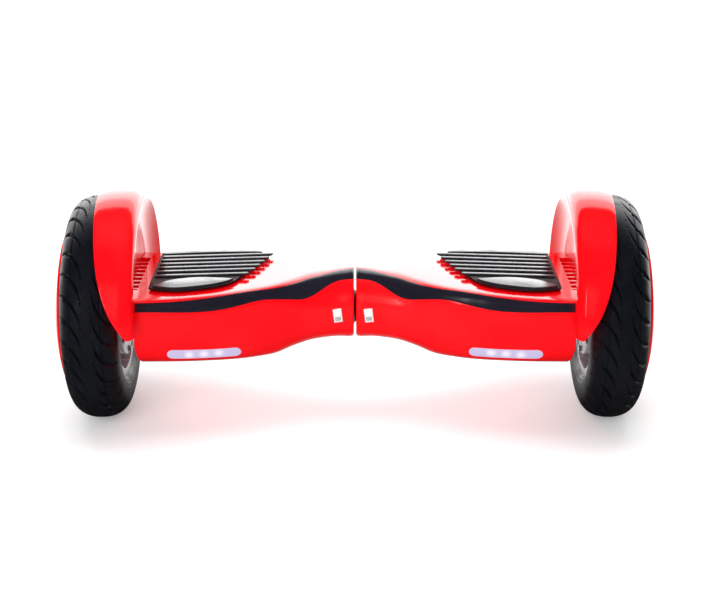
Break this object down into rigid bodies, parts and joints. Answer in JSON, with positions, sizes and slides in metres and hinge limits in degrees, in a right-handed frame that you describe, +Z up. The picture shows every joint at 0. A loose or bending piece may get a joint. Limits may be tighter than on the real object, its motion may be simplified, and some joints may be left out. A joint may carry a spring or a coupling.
{
  "type": "self balancing hoverboard",
  "caption": "Two-wheeled self-balancing board: a pair of foot platforms joined by a twisting centre pivot, with a motor wheel under a wheel arch at each end.",
  "frame": {"origin": "on the floor, midway between the two wheels' contact patches, under the centre pivot", "axes": "+X along the board from the left half to the right half, -Y the front with the headlights, +Z up"},
  "size_m": [0.6772, 0.2724, 0.2649],
  "materials": {
    "red_shell": "high gloss moulded shell",
    "black_trim": "satin black",
    "cast_frame": "as cast",
    "zinc_steel": "zinc plated",
    "lamp_lens": "clear moulded lens",
    "circuit_board": "lacquered board",
    "axle_steel": "ground",
    "stator_steel": "laminated core with copper windings",
    "cable_black": "cable sheath",
    "tyre_rubber": "satin black",
    "tube_rubber": "matt",
    "rim_alloy": "machined and lacquered",
    "magnet_steel": "nickel plated",
    "bearing_steel": "ground",
    "pad_rubber": "satin, worn on the ridges",
    "pad_plastic": "plain",
    "battery_wrap": "shrink wrap",
    "bush_brass": "sintered",
    "port_plastic": "fine grain",
    "cap_rubber": "matt"
  },
  "bodies": {
    "left_deck": {"left_top_shell": "red_shell", "left_bottom_shell": "red_shell", "left_fender": "red_shell", "left_front_trim": "black_trim", "left_rear_trim": "black_trim", "left_chassis": "cast_frame", "left_axle_clamp": "cast_frame", "left_clamp_bolts": "zinc_steel", "left_headlight_lens": "lamp_lens", "left_headlight_board": "circuit_board", "left_gyro_board": "circuit_board", "left_shell_screws": "zinc_steel", "left_axle": "axle_steel", "left_stator": "stator_steel", "left_axle_nut": "zinc_steel", "left_motor_cable": "cable_black", "battery_pack": "battery_wrap", "pivot_shaft": "axle_steel", "shaft_retaining_ring": "bearing_steel"},
    "right_deck": {"right_top_shell": "red_shell", "right_bottom_shell": "red_shell", "right_fender": "red_shell", "right_front_trim": "black_trim", "right_rear_trim": "black_trim", "right_chassis": "cast_frame", "right_axle_clamp": "cast_frame", "right_clamp_bolts": "zinc_steel", "right_headlight_lens": "lamp_lens", "right_headlight_board": "circuit_board", "right_gyro_board": "circuit_board", "right_shell_screws": "zinc_steel", "right_axle": "axle_steel", "right_stator": "stator_steel", "right_axle_nut": "zinc_steel", "right_motor_cable": "cable_black", "main_board": "circuit_board", "pivot_bushes": "bush_brass", "charge_port": "port_plastic"},
    "left_wheel": {"left_tyre": "tyre_rubber", "left_inner_tube": "tube_rubber", "left_rim": "rim_alloy", "left_magnets": "magnet_steel", "left_motor_cover": "rim_alloy", "left_cover_screws": "zinc_steel", "left_bearings": "bearing_steel", "left_hub_cap": "red_shell"},
    "left_pad": {"left_foot_pad": "pad_rubber", "left_pad_plungers": "pad_plastic"},
    "right_wheel": {"right_tyre": "tyre_rubber", "right_inner_tube": "tube_rubber", "right_rim": "rim_alloy", "right_magnets": "magnet_steel", "right_motor_cover": "rim_alloy", "right_cover_screws": "zinc_steel", "right_bearings": "bearing_steel", "right_hub_cap": "red_shell"},
    "right_pad": {"right_foot_pad": "pad_rubber", "right_pad_plungers": "pad_plastic"},
    "power_button": {"power_button": "port_plastic"},
    "charge_port_cap": {"charge_port_cap": "cap_rubber"}
  },
  "joints": [
    {"name": "centre_pivot", "type": "hinge", "parent": "left_deck", "child": "right_deck", "pos_m": [0, 0, 0.127], "axis": [1, 0, 0], "range_deg": [-14, 14]},
    {"name": "left_wheel_spin", "type": "hinge", "parent": "left_deck", "child": "left_wheel", "pos_m": [-0.288, 0, 0.127], "axis": [1, 0, 0], "continuous": true},
    {"name": "left_pad_press", "type": "slide", "parent": "left_deck", "child": "left_pad", "axis": [0, 0, -1], "range_m": [0, 0.0015], "stiffness_N_per_m": 20000, "springref_m": -0.0005},
    {"name": "right_wheel_spin", "type": "hinge", "parent": "right_deck", "child": "right_wheel", "pos_m": [0.288, 0, 0.127], "axis": [1, 0, 0], "continuous": true},
    {"name": "right_pad_press", "type": "slide", "parent": "right_deck", "child": "right_pad", "axis": [0, 0, -1], "range_m": [0, 0.0015], "stiffness_N_per_m": 20000, "springref_m": -0.0005},
    {"name": "power_button_press", "type": "slide", "parent": "right_deck", "child": "power_button", "axis": [0, -1, 0], "range_m": [0, 0.0015], "stiffness_N_per_m": 800, "springref_m": -0.0005},
    {"name": "charge_cap_hinge", "type": "hinge", "parent": "right_deck", "child": "charge_port_cap", "pos_m": [0.204, 0.10216, 0.1428], "axis": [1, 0, 0], "range_deg": [0, 100]}
  ]
}
